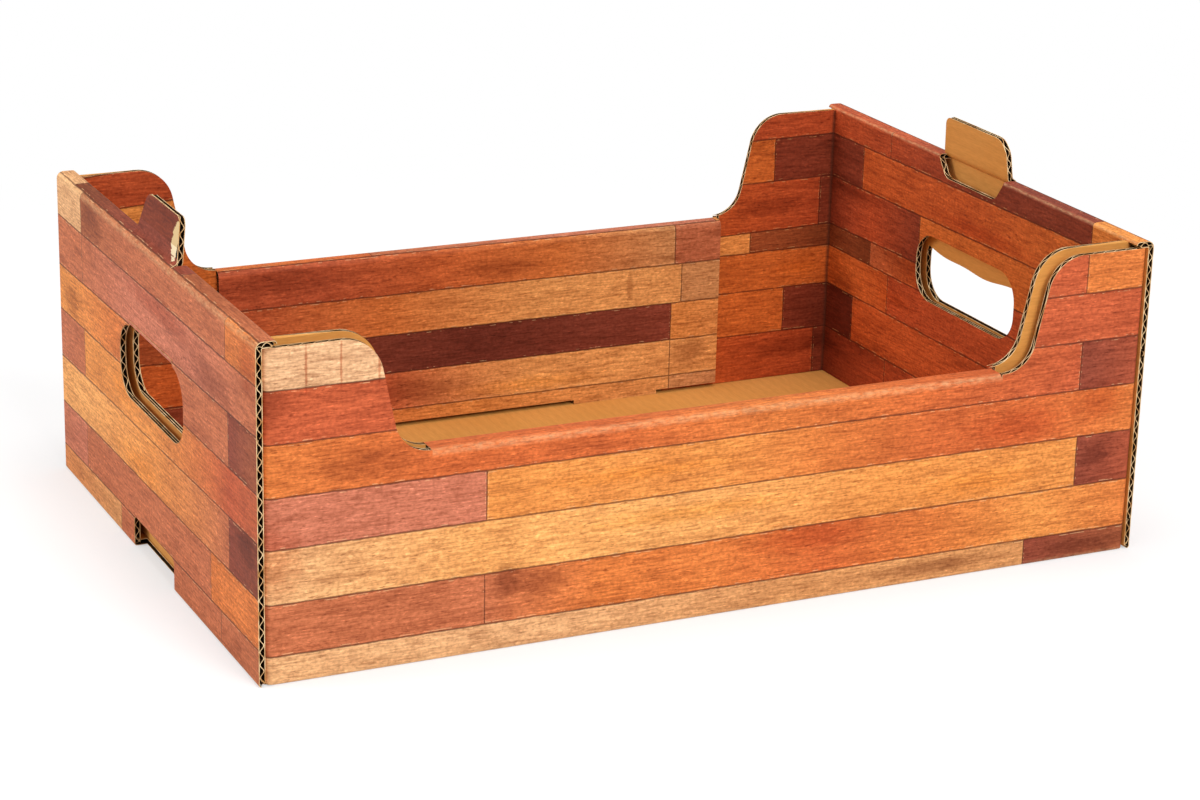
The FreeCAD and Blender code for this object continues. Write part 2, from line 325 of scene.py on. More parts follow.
# corner posts; innerStep is how far the inner layer stands out past the outer one, left and right
post = {
    "shoulderX": 228.0, "dipX": 212.0, "shoulderRadius": 25.0, "dipRadius": 22.0, "railEnd": 193.0,
    "height": 204.6, "innerHeight": 207.0, "innerStep": {-1: 0.5, 1: 5.0},
    "foldX": 291.2, "turnRadius": 4.4, "turnFoot": 0.6, "turnEnd": 1.0, "flapLength": 85.6, "flapTop": 200.0,
}
# slow bow of the big panels: wavelengths over two pi, and the share that the waves take
bow = {"along": 55.0, "up": 40.0, "share": 0.4}


def bulge(a, b, aHalf, bTop, amount, phase):
    # inward bow of a big panel: a parabola along times a half sine up, waved, and nothing at its folds
    along = np.clip(1 - (a / aHalf) ** 2, 0, 1)
    up = np.clip(np.sin(np.pi * np.clip(b / bTop, 0, 1)), 0, 1)
    wave = np.sin(a / bow["along"] + phase) * np.cos(b / bow["up"] + phase)
    return amount * along * up * (1 - bow["share"] + bow["share"] * wave)


def mirrored(side, x, y, z):
    # points of the right end wall, or of the left one with X turned over
    return np.stack([side * x, y, z], 1)


def endWallSheets(side):
    t, e, p, seam = tray, endWall, post, board["seam"]
    half, innerX = t["halfWidth"], t["halfLength"] - t["endDepth"]
    line = foldLine([(t["floorX"], 0), (t["halfLength"], 0), (t["halfLength"], t["endHeight"]),
                     (innerX, t["endHeight"]), (innerX, 0)],
                    [t["footRadius"], t["foldRadius"], t["innerFoldRadius"]], (0, t["footRadius"]), 1)
    creaseLow = t["endHeight"] - t["foldRadius"]
    creaseEnd = line["marks"][2]
    innerTop = t["endHeight"] - t["innerFoldRadius"]
    floorStart = line["run"][0]
    bendStart = t["footRadius"] * (1 - math.pi / 2)
    slotEnd = floorStart + (t["halfLength"] - e["slotDepth"] - t["floorX"])
    notchHalf = e["tabBase"] + seam

    def placeOuter(across, run, depth):
        bowed = depth + bulge(across, run, e["bowHalf"], e["bowTop"], e["bow"], e["bowPhase"] * side)
        x, z = onFold(line, run, bowed)
        return mirrored(side, x, across, z)

    # outer panel with its bottom fold, stacking slot and hand hole
    outer = cutLoop([(-t["floorY"], floorStart, 0), (t["floorY"], floorStart, 0), (t["floorY"], bendStart, 0),
                     (half, bendStart, 0), (half, creaseLow, 0), (-half, creaseLow, 0), (-half, bendStart, 0),
                     (-t["floorY"], bendStart, 0)])
    slot = boxLoop(-e["slotHalf"], e["slotHalf"], slotEnd, e["slotTop"], e["slotRadius"])
    columns = gridLines(-half, half, spacing["endPanel"], (-notchHalf, notchHalf))
    rows = gridLines(floorStart, creaseLow, spacing["endPanel"], line["run"])
    sheets = boardSheet([outer, slot, handHole(e["holeSill"], side)], columns, rows, placeOuter, unmoved,
                        [(1, bendStart, creaseLow, (-half, half))])

    # rolled top strip either side of the tab
    strips = [cutLoop([(s * notchHalf, creaseLow, 0), (s * half, creaseLow, 0), (s * half, creaseEnd, 0),
                       (s * notchHalf, creaseEnd, 0)]) for s in (-1, 1)]
    frontFace = half - board["thick"] * 2 - t["frontGap"]
    backFace = half - board["thick"] * 2 - t["backGap"]
    marks = (-notchHalf, notchHalf, -frontFace, backFace)
    columns = gridLines(-half, half, spacing["endPanel"], marks)
    rows = gridLines(creaseLow, creaseEnd, spacing["fold"], line["run"])
    sheets += boardSheet(strips, columns, rows, placeOuter, unmoved,
                         [(1, creaseLow, creaseEnd, (-half, half))])

    # inner panel and its two side flaps, the inner layer of the corner posts
    bend = e["cornerRadius"]
    inner = foldLine([(e["layerStart"], -frontFace), (innerX, -frontFace), (innerX, backFace),
                      (e["layerStart"], backFace)], [bend, bend], (0, -frontFace + bend), -1)
    corner = innerX - bend

    def flapFront(x):
        return inner["run"][1] - (corner - x)

    def flapBack(x):
        return inner["marks"][1] + (corner - x)

    def placeInner(along, z, depth):
        x, y = onFold(inner, along, depth)
        return mirrored(side, x, y, z)

    def printInner(spots):
        # the print runs on over the top fold and down
        return np.stack([spots[:, 0], creaseEnd + innerTop - spots[:, 1]], 1)

    foot = board["thick"] + seam
    notchFloor = t["endHeight"] - (e["tabHeight"] - t["endDepth"])
    shoulder = shoulderCorners(side)
    loop = [(flapFront(e["flapReach"]), foot, 0), (flapBack(e["flapReach"]), foot, 0)]
    loop += [(flapBack(x), z, r) for x, z, r in shoulder]
    loop += [(backFace - bend, p["innerHeight"], 0), (backFace - bend, innerTop, 0),
             (notchHalf, innerTop, 0), (e["tabTop"], notchFloor, e["notchRadius"]),
             (-e["tabTop"], notchFloor, e["notchRadius"]), (-notchHalf, innerTop, 0),
             (-frontFace + bend, innerTop, 0), (-frontFace + bend, p["innerHeight"], 0)]
    loop += [(flapFront(x), z, r) for x, z, r in shoulder[::-1]]
    low, high = flapFront(e["meshStart"]), flapBack(e["meshStart"])
    columns = gridLines(flapFront(e["layerStart"]), flapBack(e["layerStart"]), spacing["endPanel"],
                        np.concatenate([inner["run"], marks]))
    columns = columns[(columns > low) & (columns < high)]
    rows = gridLines(foot, innerTop, spacing["endPanel"])
    clear, past = board["fluteClear"], corner - e["cornerClear"]
    flats = ((-frontFace + clear, backFace - clear), (low, flapFront(past)), (flapBack(past), high))
    innerHole = handHole(e["holeSill"] + e["innerHoleRise"], 0)
    sheets += boardSheet([cutLoop(loop), innerHole], columns, rows, placeInner, printInner,
                         [(1, foot + e["fluteStart"], p["innerHeight"], flat) for flat in flats])
    sheets += tabSheets(side, creaseLow)
    if side < 0:
        sheets += tongueSheets(side)
    return sheets


def shoulderCorners(side):
    # free edge of a post's inner layer from its foot up, as x, z and corner radius
    e, p = endWall, post
    low = p["railEnd"] + board["seam"]
    step = p["innerStep"][side]
    dip = tray["railHeight"] + step / 2
    return [(e["flapReach"], e["flapTop"], 0), (low, e["flapTop"], 0), (low, dip, 0),
            (p["dipX"] - step, dip, p["dipRadius"]),
            (p["shoulderX"] - step, p["innerHeight"], p["shoulderRadius"])]


def tongueCrease():
    # height of the fold that a grip tongue hangs from: just above the hand hole's top
    return endWall["holeSill"] + endWall["holeHeight"] + tray["foldRadius"] - board["seam"] / 2


def handHole(sill, side):
    # long round-ended hole; on the left it is cut up to the tongue's fold, and on the right its top is
    # the bowed edge of the tongue that still hangs there: a parabola with a slight sine
    e, reach = endWall, endWall["holeHalf"]
    top = sill + e["holeHeight"]
    corners = [(-reach, sill), (reach, sill), (reach, top), (-reach, top)]
    loop = densify(cutLoop([(*c, e["holeRadius"]) for c in corners]), spacing["holeRim"])
    y = loop[:, 0]
    if side > 0:
        waveHeight, waveLength = e["tongueWave"]
        edge = top - e["tongue"] + e["tongueBow"] * (y / reach) ** 2 + waveHeight * np.sin(y / waveLength)
        loop[:, 1] = np.minimum(loop[:, 1], edge)
    elif side < 0:
        flat = (abs(y) < reach - e["holeRadius"]) & (loop[:, 1] > top - 1)
        loop[flat, 1] = tongueCrease()
    return loop


def tabSheets(side, creaseLow):
    # stacking tab: it goes on up from the outer panel, dips in over the worn crease and leans
    e, t, c, tab = endWall, tray, tabCrease, tabs[side]
    near, far = tab["near"], tab["far"]
    x, low, high = t["halfLength"], creaseLow + c["low"], creaseLow + c["high"]
    rise = t["endHeight"] + e["tabHeight"] - c["short"] - high
    inX = x - tab["sink"]
    line = foldLine([(x, creaseLow), (x, low), (inX, high),
                     (inX - rise * math.tan(math.radians(tab["lean"])), high + rise)], c["radii"], None, 1)
    line["run"] = line["run"] + creaseLow
    length = line["run"][-1]

    def place(across, run, depth):
        x, z = onFold(line, run, depth)
        return mirrored(side, x, across, z)

    foot = creaseLow + c["foot"]
    loop = cutLoop([(near[0], creaseLow, 0), (far[0], creaseLow, 0), (far[0], foot, 0),
                    (far[1], length, far[2]), (near[1], length, near[2]), (near[0], foot, 0)])
    columns = gridLines(near[0], far[0], spacing["tab"])
    rows = gridLines(creaseLow, length, spacing["fold"], line["run"])
    return boardSheet([loop], columns, rows, place, unmoved, [(1, creaseLow, length, (near[0], far[0]))])


def tongueSheets(side):
    # grip tongue pushed in and folded flat up behind the outer panel
    e, x, start = endWall, tray["halfLength"], tongueCrease()
    bend = board["thick"] + board["seam"] / 2
    top = e["holeSill"] + e["holeHeight"]
    line = foldLine([(x, start), (x, top), (x - 2 * bend, top), (x - 2 * bend, top + e["tongue"])],
                    [bend, bend], None, 1)
    length = line["run"][-1]
    half = e["holeHalf"] - e["holeRadius"] - board["seam"]

    def place(across, run, depth):
        x, z = onFold(line, run, -depth)
        return mirrored(side, x, across, z)

    return boardSheet([boxLoop(-half, half, 0, length, e["tongueRadius"])],
                      gridLines(-half, half, spacing["tongue"]),
                      gridLines(0, length, spacing["fold"], line["run"]), place, lambda s: s + [0, start])


# Long walls: low rolled rail between two posts, whose side flaps go inside the end walls
longWall = {
    "foot": 7.0, "lockCentre": 110.5, "lockHalf": 33.5, "lockEnd": 0.5, "lockRadius": 2.0,
    "flapRise": 1.0, "flutesShown": 40.0, "bow": 1.1, "bowHalf": 285.0, "bowPhase": 0.7,
}


def longWallSheets(side, depth):
    t, w, p, half = tray, longWall, post, tray["halfWidth"]
    line = foldLine([(t["floorY"], 0), (half, 0), (half, t["endHeight"])], [t["footRadius"]],
                    (0, t["footRadius"]), 1)
    railLow = t["railHeight"] - t["foldRadius"]
    rail = foldLine([(half, railLow), (half, t["railHeight"]), (half - depth, t["railHeight"]),
                     (half - depth, w["lockEnd"])], [t["foldRadius"], t["foldRadius"]], None, 1)
    rail["run"] = rail["run"] + railLow
    flapX = p["foldX"] + p["turnRadius"]
    turn = foldLine([(0, half), (flapX, half), (flapX, half - p["turnRadius"] - p["flapLength"])],
                    [p["turnRadius"]], None, -1)

    def flip(x, y, z):
        return np.stack([x, side * y, z], 1)

    def placeOuter(along, run, depthIn):
        # up to the posts' vertical fold the wall follows its bottom fold, and past it the turn
        bowed = depthIn + bulge(along, run, w["bowHalf"], railLow, w["bow"], w["bowPhase"] * side)
        y, z = onFold(line, run, bowed)
        xTurn, yTurn = onFold(turn, abs(along), depthIn)
        beyond = abs(along) > p["foldX"] + 0.01
        x = np.where(beyond, np.sign(along) * xTurn, along)
        return flip(x, np.where(beyond, yTurn, y), np.where(beyond, run, z))

    def placeRail(along, run, depthIn):
        y, z = onFold(rail, run, depthIn)
        return flip(along, y, z)

    # outer panel, two posts and their side flaps
    floorStart = line["run"][0]
    foot = board["thick"] + board["seam"] + w["flapRise"]
    flapEnd, bendEnd, flat = turn["run"][-1], turn["marks"][0], turn["marks"][0] + p["turnEnd"]
    right = [(p["foldX"], floorStart, 0), (p["foldX"], p["turnFoot"], 0), (bendEnd, p["turnFoot"], 0),
             (bendEnd, foot, 0), (flapEnd, foot, 0), (flapEnd, p["flapTop"], 0), (flat, p["flapTop"], 0),
             (flat, p["height"], 0), (p["shoulderX"], p["height"], p["shoulderRadius"]),
             (p["dipX"], t["railHeight"], p["dipRadius"]), (p["railEnd"], t["railHeight"], 0),
             (p["railEnd"], railLow, 0)]
    loop = cutLoop(right + [(-a, b, r) for a, b, r in right[::-1]])
    bends = turn["run"][(turn["run"] >= p["foldX"] - 0.1)]
    columns = gridLines(-flapEnd, flapEnd, spacing["wallAlong"],
                        np.concatenate([-bends, bends, [-p["railEnd"], p["railEnd"]]]))
    rows = gridLines(floorStart, p["height"], spacing["wallUp"], np.concatenate([line["run"], [railLow]]))
    tall = (foot, p["height"])
    postStart = p["railEnd"] + board["fluteClear"]
    sheets = boardSheet([loop], columns, rows, placeOuter, unmoved,
                        [(0, postStart, flapEnd, tall), (0, -flapEnd, -postStart, tall)])

    # rolled rail and inner panel down to its locking tabs
    end = rail["run"][-1]
    edge = end - (w["foot"] - w["lockEnd"])
    outline = [(-p["railEnd"], railLow, 0), (p["railEnd"], railLow, 0), (p["railEnd"], edge, 0)]
    for centre in (w["lockCentre"], -w["lockCentre"]):
        low, high = centre - w["lockHalf"], centre + w["lockHalf"]
        outline += [(high, edge, 0), (high, end, w["lockRadius"]),
                    (low, end, w["lockRadius"]), (low, edge, 0)]
    outline += [(-p["railEnd"], edge, 0)]
    columns = columns[abs(columns) <= p["railEnd"] + 0.01]
    rows = gridLines(railLow, end, spacing["railDown"], rail["run"])
    sheets += boardSheet([cutLoop(outline)], columns, rows, placeRail, unmoved,
                         [(0, -p["railEnd"], p["railEnd"], (end - w["flutesShown"], end))])
    return sheets


floorPrintShift = 1000.0


def floorSheets():
    # flat floor with four slots for the locking tabs; its print lies away from the walls' rows
    t, w, seam = tray, longWall, board["seam"]
    loops = [boxLoop(-t["floorX"], t["floorX"], -t["floorY"], t["floorY"])]
    for side, depth in ((-1, t["frontDepth"]), (1, t["backDepth"])):
        inner = t["halfWidth"] - depth - seam
        outer = inner + board["thick"] + 2 * seam
        reach = w["lockHalf"] + seam
        for centre in (-w["lockCentre"], w["lockCentre"]):
            loops.append(boxLoop(centre - reach, centre + reach, side * inner, side * outer))

    def place(x, y, depth):
        return np.stack([x, y, np.broadcast_to(depth, x.shape)], 1)

    return boardSheet(loops, gridLines(-t["floorX"], t["floorX"], spacing["floor"]),
                      gridLines(-t["floorY"], t["floorY"], spacing["floor"]), place,
                      lambda s: s + [0, floorPrintShift])


def toLinear(hexText):
    # sRGB hex to linear red, green, blue and alpha
    s = np.array([int(hexText[i:i + 2], 16) for i in (1, 3, 5)]) / 255
    return (*np.where(s <= 0.04045, s / 12.92, ((s + 0.055) / 1.055) ** 2.4), 1.0)


def fillInput(tree, node, key, value):
    # a socket is linked and anything else is set
    if isinstance(value, bpy.types.NodeSocket):
        tree.links.new(value, node.inputs[key])
    else:
        node.inputs[key].default_value = value


def addNode(tree, kind, inputs=None, **settings):
    # adds one node, sets its settings and fills or links its inputs
    node = tree.nodes.new(kind)
    for key, value in settings.items():
        setattr(node, key, value)
    for key, value in (inputs or {}).items():
        fillInput(tree, node, key, value)
    return node


def newMaterial(name):
    material = bpy.data.materials.new(name)
    material.use_nodes = True
    material.node_tree.nodes.clear()
    return material, material.node_tree


def finishMaterial(tree, colour, roughness, relief, depth, strength, specular):
    # the paper's shader, its relief in metres
    bump = addNode(tree, "ShaderNodeBump", {"Height": relief, "Distance": depth, "Strength": strength})
    shader = addNode(tree, "ShaderNodeBsdfPrincipled",
                     {"Base Color": colour, "Roughness": roughness, "Specular IOR Level": specular,
                      "Normal": bump.outputs[0]})
    addNode(tree, "ShaderNodeOutputMaterial", {"Surface": shader.outputs["BSDF"]})


def maths(tree, operation, first, second=0.0, third=0.5, clamp=False):
    return addNode(tree, "ShaderNodeMath", {0: first, 1: second, 2: third}, operation=operation,
                   use_clamp=clamp).outputs[0]


def streaks(tree, along, across, seed, alongSize, acrossSize, detail):
    # noise stretched along the plank, sizes in millimetres
    spot = addNode(tree, "ShaderNodeCombineXYZ",
                   {0: maths(tree, "MULTIPLY", along, 1 / (alongSize * mm)),
                    1: maths(tree, "MULTIPLY", across, 1 / (acrossSize * mm)), 2: seed}).outputs[0]
    return addNode(tree, "ShaderNodeTexNoise", {"Vector": spot, "Scale": 1.0, "Detail": detail,
                                                "Roughness": 0.6}).outputs["Fac"]


def mixed(tree, factor, first, second, blend="MIX"):
    # two colours mixed or multiplied by a factor
    node = addNode(tree, "ShaderNodeMix", data_type="RGBA", blend_type=blend, clamp_result=False)
    for key, value in ((0, factor), (6, first), (7, second)):
        fillInput(tree, node, key, value)
    return node.outputs[2]


def ramp(tree, factor, stops):
    # colours at places between 0 and 1
    node = addNode(tree, "ShaderNodeValToRGB", {"Fac": factor})
    elements = node.color_ramp.elements
    while len(elements) > 1:
        elements.remove(elements[-1])
    elements[0].position, elements[0].color = stops[0]
    for position, colour in stops[1:]:
        elements.new(position).color = colour
    return node.outputs["Color"]


def shaded(tree, colour, factor, strength, *stops):
    # colour multiplied by a tone that follows the factor, from (place, red, green, blue) stops
    tone = ramp(tree, factor, [(at, (*rgb, 1)) for at, *rgb in stops])
    return mixed(tree, strength, colour, tone, "MULTIPLY")


def fluteWave(tree, across):
    # faint sine of the board's flutes showing through a liner
    return maths(tree, "SINE", maths(tree, "MULTIPLY", across, 2 * math.pi / (board["pitch"] * mm)))


# Print of the blank: rows of planks from its foot up, each plank written as its start in mm and the tones
# along it, with commas between planks; bounds are the rows' upper edges in mm at the near (or left) and
# the far (or right) side. worn: a rubbed fold's height, how far it reaches up and down, and from where to
# where it runs. inside: from which height and how far out the print is an inner panel's, and the tint of
# its painted shade. corner: where an inner panel turns into its side flap, marked with a line of painted
# shade. stains: place, half lengths and kind
tones = {"cream": "#E2B083", "sand": "#E0A976", "tan": "#D2925A", "gold": "#EBA45E", "amber": "#E28F47",
         "orange": "#D6783A", "redOrange": "#CC6633", "brick": "#C05A35", "rose": "#BF6C46",
         "mauve": "#C67457", "brown": "#A45A36", "umber": "#7F4327", "maroon": "#8C422F",
         "wine": "#6C2E20", "joint": "#4A2418", "chip": "#F0C894"}
# stains: tint, strength and how sharp the rim is; the slit is painted shade, a dark line where the tab is
# torn open
stainKinds = {"smoke": ("#A88878", 0.55, 1.2), "blush": ("#D8A080", 0.5, 1.2),
              "honey": ("#FFF0C0", 0.6, 1.0), "redLine": ("#D09A84", 0.7, 1.6),
              "torn": ("#F3DDB4", 1.0, 8.0), "slitShade": ("#2A1A10", 1.0, 8.0)}
prints = {
    "front": {
        "bounds": [(17.6, 17.6), (49.6, 49.6), (83.2, 83.2), (114.7, 114.7), (147, 147), (179, 179),
                   (210, 210), (242, 242)],
        "rows": [
            "-300 sand sand tan tan, 217.6 maroon brown",
            "-300 rose, -159 rose orange orange redOrange orange amber orange",
            "-300 sand gold gold amber amber, 252.9 maroon brick",
            "-300 mauve, -158.4 amber amber amber orange redOrange redOrange orange",
            "-300 orange redOrange redOrange orange redOrange brick, 251.5 maroon brick",
            "-300 brick brick orange brick brick",
            "-300 cream, 0 brick, 251.5 orange",
            "-300 amber orange, -40 brick rose, 150 gold amber",
            "-300 brown rose, 60 amber gold",
        ],
        "worn": [(131.0, 4.0, -1, 193), (0.0, 3.0, -1, 300)],
        "inside": (150.0, 193.0, (0.8, 0.72, 0.6)), "corner": None,
        "stains": [(-270, 191, 0.8, 16, "redLine"), (-249, 191, 0.8, 16, "redLine"),
                   (-226, 190, 0.8, 14, "redLine"), (-292, 168, 12, 10, "smoke"),
                   (-235, 128, 34, 8, "smoke"), (-290, 76, 16, 22, "blush"), (-130, 40, 26, 8, "smoke"),
                   (-145, 45, 8, 12, "smoke"), (268, 70, 12, 10, "smoke"), (268, 106, 20, 14, "blush"),
                   (150, 9, 50, 5, "smoke"), (262, 8, 34, 6, "smoke"), (205, 96, 36, 12, "blush"),
                   (60, 42, 40, 10, "blush"), (-60, 100, 60, 5, "honey"), (-20, 70, 70, 6, "honey"),
                   (180, 62, 40, 9, "honey")],
    },
    "left": {
        "bounds": [(23.2, 18), (54.5, 48.8), (88.4, 81.4), (118.6, 114.9), (153, 145.8), (183, 180.3),
                   (209.5, 209.5), (264, 222), (275, 247), (299, 279), (322, 326), (352, 358),
                   (384, 390)],
        "rows": [
            "-300 brown rose, -133 rose, 69 tan orange",
            "-300 orange, -114 rose, 145 mauve rose",
            "-300 umber maroon, -149 rose amber gold gold",
            "-300 brown brick amber amber, 145 rose mauve",
            "-300 maroon brown maroon, -150 rose rose orange amber orange",
            "-300 rose rose mauve mauve rose, 145 rose",
            "-300 brown orange, -147 rose rose rose brown, 145 sand",
            "-300 rose brown, -60 maroon maroon umber, 165 sand",
            "-300 brick orange, -120 redOrange, 120 brick",
            "-300 orange amber, 40 amber gold, 180 gold amber",
            "-300 maroon brown, -60 orange redOrange, 150 orange",
            "-300 amber orange, 90 brick brown",
            "-300 rose brick, -10 orange redOrange",
            "-300 redOrange brick, 120 maroon",
        ],
        "worn": [(206.5, 3.5, -1, 200), (220.0, 1.6, 42, 200), (0.0, 3.0, -1, 300)],
        "inside": (222.0, 400.0, (0.8, 0.7, 0.54)), "corner": 190.6,
        "stains": [(120, 196, 24, 12, "smoke"), (30, 60, 40, 10, "honey"), (170, 128, 18, 10, "smoke"),
                   (-180, 80, 18, 12, "smoke"), (-20, 176, 60, 8, "blush"), (60, 100, 30, 10, "honey"),
                   (-120, 160, 40, 10, "smoke"), (-185, 190, 14, 16, "blush"), (-33, 226, 7, 10, "torn"),
                   (-38, 223, 1.6, 8, "slitShade")],
    },
    "right": {
        "bounds": [(23.2, 18), (54.5, 48.8), (88.4, 81.4), (118.6, 114.9), (153, 145.8), (183, 180.3),
                   (211, 211), (236, 239), (266, 271), (299, 308), (322, 324.5), (352, 354), (388, 388)],
        "rows": [
            "-300 orange rose, -60 amber tan, 100 brown rose",
            "-300 brick maroon, 120 orange amber",
            "-300 gold tan, 40 amber orange, 150 maroon brown",
            "-300 rose mauve, -90 amber gold, 110 orange",
            "-300 orange amber, 60 rose brown",
            "-300 brown rose, -149 redOrange rose, 130 brick maroon",
            "-300 amber, -150 maroon, 60 brick brown",
            "-300 amber, -150 maroon maroon brick, 107 brick",
            "-300 orange orange redOrange redOrange, 145 maroon, 239 orange",
            "-300 redOrange orange orange orange, 62 maroon brick maroon, 200 brick redOrange",
            "-300 brick, -60 maroon brick, 62 redOrange rose, 129 umber brown, 257 gold",
            "-300 maroon brick brick, 102 redOrange orange orange",
            "-300 maroon brick redOrange, 151 wine maroon, 227 orange",
            "-300 maroon brick, 100 brick maroon, 200 brick redOrange",
        ],
        "worn": [(206.5, 3.5, -1, 200), (220.0, 1.6, 42, 200), (0.0, 3.0, -1, 300)],
        "inside": (222.0, 400.0, (0.82, 0.68, 0.54)), "corner": 190.6,
        "stains": [(160, 275, 28, 10, "smoke"), (168, 350, 24, 12, "smoke"), (60, 310, 50, 12, "smoke"),
                   (110, 390, 60, 10, "smoke"), (240, 290, 30, 8, "smoke"), (-20, 262, 60, 7, "blush"),
                   (215, 340, 20, 8, "honey"), (90, 340, 26, 8, "honey"), (30, 405, 70, 10, "smoke"),
                   (215, 400, 60, 8, "smoke")],
    },
    "back": {
        "bounds": [(17.6, 17.6), (49.6, 49.6), (83.2, 83.2), (114.7, 114.7), (141.5, 141.5),
                   (171.5, 171.5), (201, 201), (229.3, 229.3), (257, 257)],
        "rows": [
            "-300 brown rose, -150 orange amber, 140 tan",
            "-300 amber gold, -30 rose brick, 180 orange amber",
            "-300 brick brown, -180 amber orange, 120 maroon brown",
            "-300 gold tan, 60 redOrange orange",
            "-300 orange redOrange, -80 rose mauve, 190 amber",
            "-300 brown brick brick redOrange orange tan, 156 rose",
            "-300 umber brick orange gold gold, 162 tan",
            "-300 umber maroon wine maroon, 154 amber tan",
            "-300 umber umber brick gold gold, 154 gold amber",
            "-300 umber redOrange amber gold, 154 tan rose",
        ],
        "worn": [(132.0, 4.0, -1, 193), (0.0, 3.0, -1, 300)],
        "inside": (139.0, 193.0, (0.86, 0.88, 0.92)), "corner": None,
        "stains": [(-150, 155, 60, 10, "smoke"), (20, 160, 30, 7, "smoke"), (120, 186, 3, 12, "smoke"),
                   (-60, 244, 50, 8, "smoke"), (170, 240, 14, 10, "smoke"), (40, 250, 60, 6, "honey")],
    },
}
# figure of the wood: seed, length and width in mm, detail, strength, and the stops of its tone
figure = {
    "bands": (40.0, 70.0, 7.0, 3.0, 0.5, (0.32, 0.66, 0.56, 0.50), (0.5, 1, 1, 1), (0.70, 1.16, 1.22, 1.25)),
    "clouds": (60.0, 26.0, 16.0, 3.0, 0.35, (0.30, 0.72, 0.62, 0.56), (0.5, 1, 1, 1),
               (0.70, 1.14, 1.16, 1.16)),
    "grain": (0.0, 13.0, 1.3, 4.0, 0.8, (0.30, 0.60, 0.48, 0.42), (0.5, 1, 1, 1), (0.70, 1.30, 1.38, 1.45)),
    "pores": (80.0, 5.5, 0.9, 2.0, 0.9, (0.28, 0.50, 0.38, 0.33), (0.40, 1, 1, 1)),
    "flecks": (11.0, 4.0, 1.3, 3.0, 1.0, (0.58, 1, 1, 1), (0.72, 1.45, 1.55, 1.6)),
}
mottleStops = [(0.30, 0.74, 0.68, 0.64), (0.5, 1, 1, 1), (0.70, 1.16, 1.20, 1.22)]
# joints and chips in metres: the joint's widest half, and where the pale chips lie beside it; the corner
# entries set the half width and strength of the painted shade in an inner panel's corner fold
ink = {"wobble": 0.0009, "joint": 0.0011, "jointStrength": 0.7, "chipAt": 0.0011, "chipHalf": 0.0003,
       "chipStrength": 0.4, "wornStrength": 0.5, "cornerShadeHalf": 0.0022, "cornerShadeStrength": 0.8, "rowSeed": 7.31}


def plankRow(tree, along, row):
    # one row's colour, its tones spread evenly over each plank's visible length, and the distance to the
    # nearest end joint
    colour, ends = None, 1.0
    words = [plank.split() for plank in row.split(",")]
    for k, (start, *shades) in enumerate(words):
        start = float(start)
        last = float(words[k + 1][0]) if k + 1 < len(words) else max(tray["halfLength"], start + 100)
        stops = [(i / max(1, len(shades) - 1), toLinear(tones[shade])) for i, shade in enumerate(shades)]
        plank = stops[0][1]
        if len(stops) > 1:
            where = addNode(tree, "ShaderNodeMapRange", {"Value": along, "From Min": start * mm,
                                                         "From Max": last * mm}).outputs[0]
            plank = ramp(tree, where, stops)
        if k == 0:
            colour = plank
            continue
        past = maths(tree, "SUBTRACT", along, start * mm)
        colour = mixed(tree, maths(tree, "GREATER_THAN", past, 0.0), colour, plank)
        ends = maths(tree, "MINIMUM", maths(tree, "ABSOLUTE", past), ends)
    return colour, ends


def planks(tree, along, up, layout):
    # all rows: colour, number of the row, and distance to the nearest joint, along or across
    spread = maths(tree, "MULTIPLY", along, 1 / (2 * tray["halfWidth"] * mm))
    colour, ends = plankRow(tree, along, layout["rows"][0])
    index, nearest = 0.0, 1.0
    for (near, far), row in zip(layout["bounds"], layout["rows"][1:]):
        line = maths(tree, "MULTIPLY_ADD", spread, (far - near) * mm, (near + far) / 2 * mm)
        above = maths(tree, "SUBTRACT", up, line)
        step = maths(tree, "GREATER_THAN", above, 0.0)
        rowColour, rowEnds = plankRow(tree, along, row)
        colour = mixed(tree, step, colour, rowColour)
        ends = addNode(tree, "ShaderNodeMix", {0: step, 2: ends, 3: rowEnds}).outputs[0]
        index = maths(tree, "ADD", step, index)
        nearest = maths(tree, "MINIMUM", maths(tree, "ABSOLUTE", above), nearest)
    return colour, index, maths(tree, "MINIMUM", nearest, maths(tree, "MULTIPLY", ends, 1.3))


def stained(tree, colour, along, up, stains):
    # stains and worn spots of the print, and the painted shade of a slit: soft ellipses with a ragged rim
    ragged = maths(tree, "SUBTRACT", streaks(tree, along, up, 9.0, 9.0, 3.5, 4.0), 0.5)
    ragged = maths(tree, "MULTIPLY", ragged, 1.7)
    for x, v, reachX, reachV, kind in stains:
        tint, strength, edge = stainKinds[kind]
        acrossSpot = maths(tree, "MULTIPLY", maths(tree, "SUBTRACT", along, x * mm), 1 / (reachX * mm))
        upSpot = maths(tree, "MULTIPLY", maths(tree, "SUBTRACT", up, v * mm), 1 / (reachV * mm))
        spot = addNode(tree, "ShaderNodeCombineXYZ", {0: acrossSpot, 1: upSpot}).outputs[0]
        away = addNode(tree, "ShaderNodeVectorMath", {0: spot}, operation="LENGTH").outputs["Value"]
        cover = maths(tree, "SUBTRACT", 1.25, maths(tree, "ADD", away, ragged))
        cover = maths(tree, "MULTIPLY", maths(tree, "MULTIPLY", cover, edge, clamp=True), strength)
        blend = "MIX" if kind in ("torn", "slitShade") else "MULTIPLY"
        colour = mixed(tree, cover, colour, toLinear(tint), blend)
    return colour


def band(tree, value, centre, reach):
    # 1 on a line, falling to 0 at a reach either side, both in metres
    away = maths(tree, "ABSOLUTE", maths(tree, "SUBTRACT", value, centre))
    return maths(tree, "SUBTRACT", 1.0, maths(tree, "MULTIPLY", away, 1 / reach), clamp=True)


